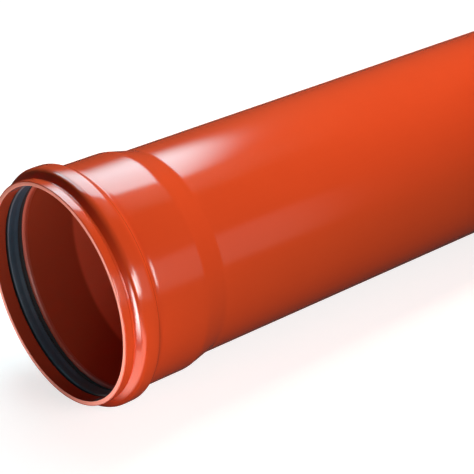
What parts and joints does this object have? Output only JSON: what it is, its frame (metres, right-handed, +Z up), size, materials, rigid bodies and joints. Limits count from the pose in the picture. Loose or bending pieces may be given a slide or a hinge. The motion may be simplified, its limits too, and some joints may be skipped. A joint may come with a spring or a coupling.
{
  "type": "socketed plastic sewer pipe",
  "caption": "Straight plastic sewer pipe lying on its side, with a push-fit socket and its rubber seal ring on one end and a chamfered spigot on the other.",
  "frame": {"origin": "centre of the socket's mouth, on the pipe's axis", "axes": "+Y along the pipe's axis from the socket's mouth to the spigot, +Z up as the pipe lies on the ground"},
  "size_m": [0.3552, 1.138, 0.3552],
  "materials": {
    "pipe_plastic": "smooth extruded orange-brown plastic with a soft gloss",
    "seal_rubber": "black moulded rubber with a lubricated sheen"
  },
  "bodies": {
    "root": {"pipe": "pipe_plastic", "seal_ring": "seal_rubber"}
  },
  "joints": []
}
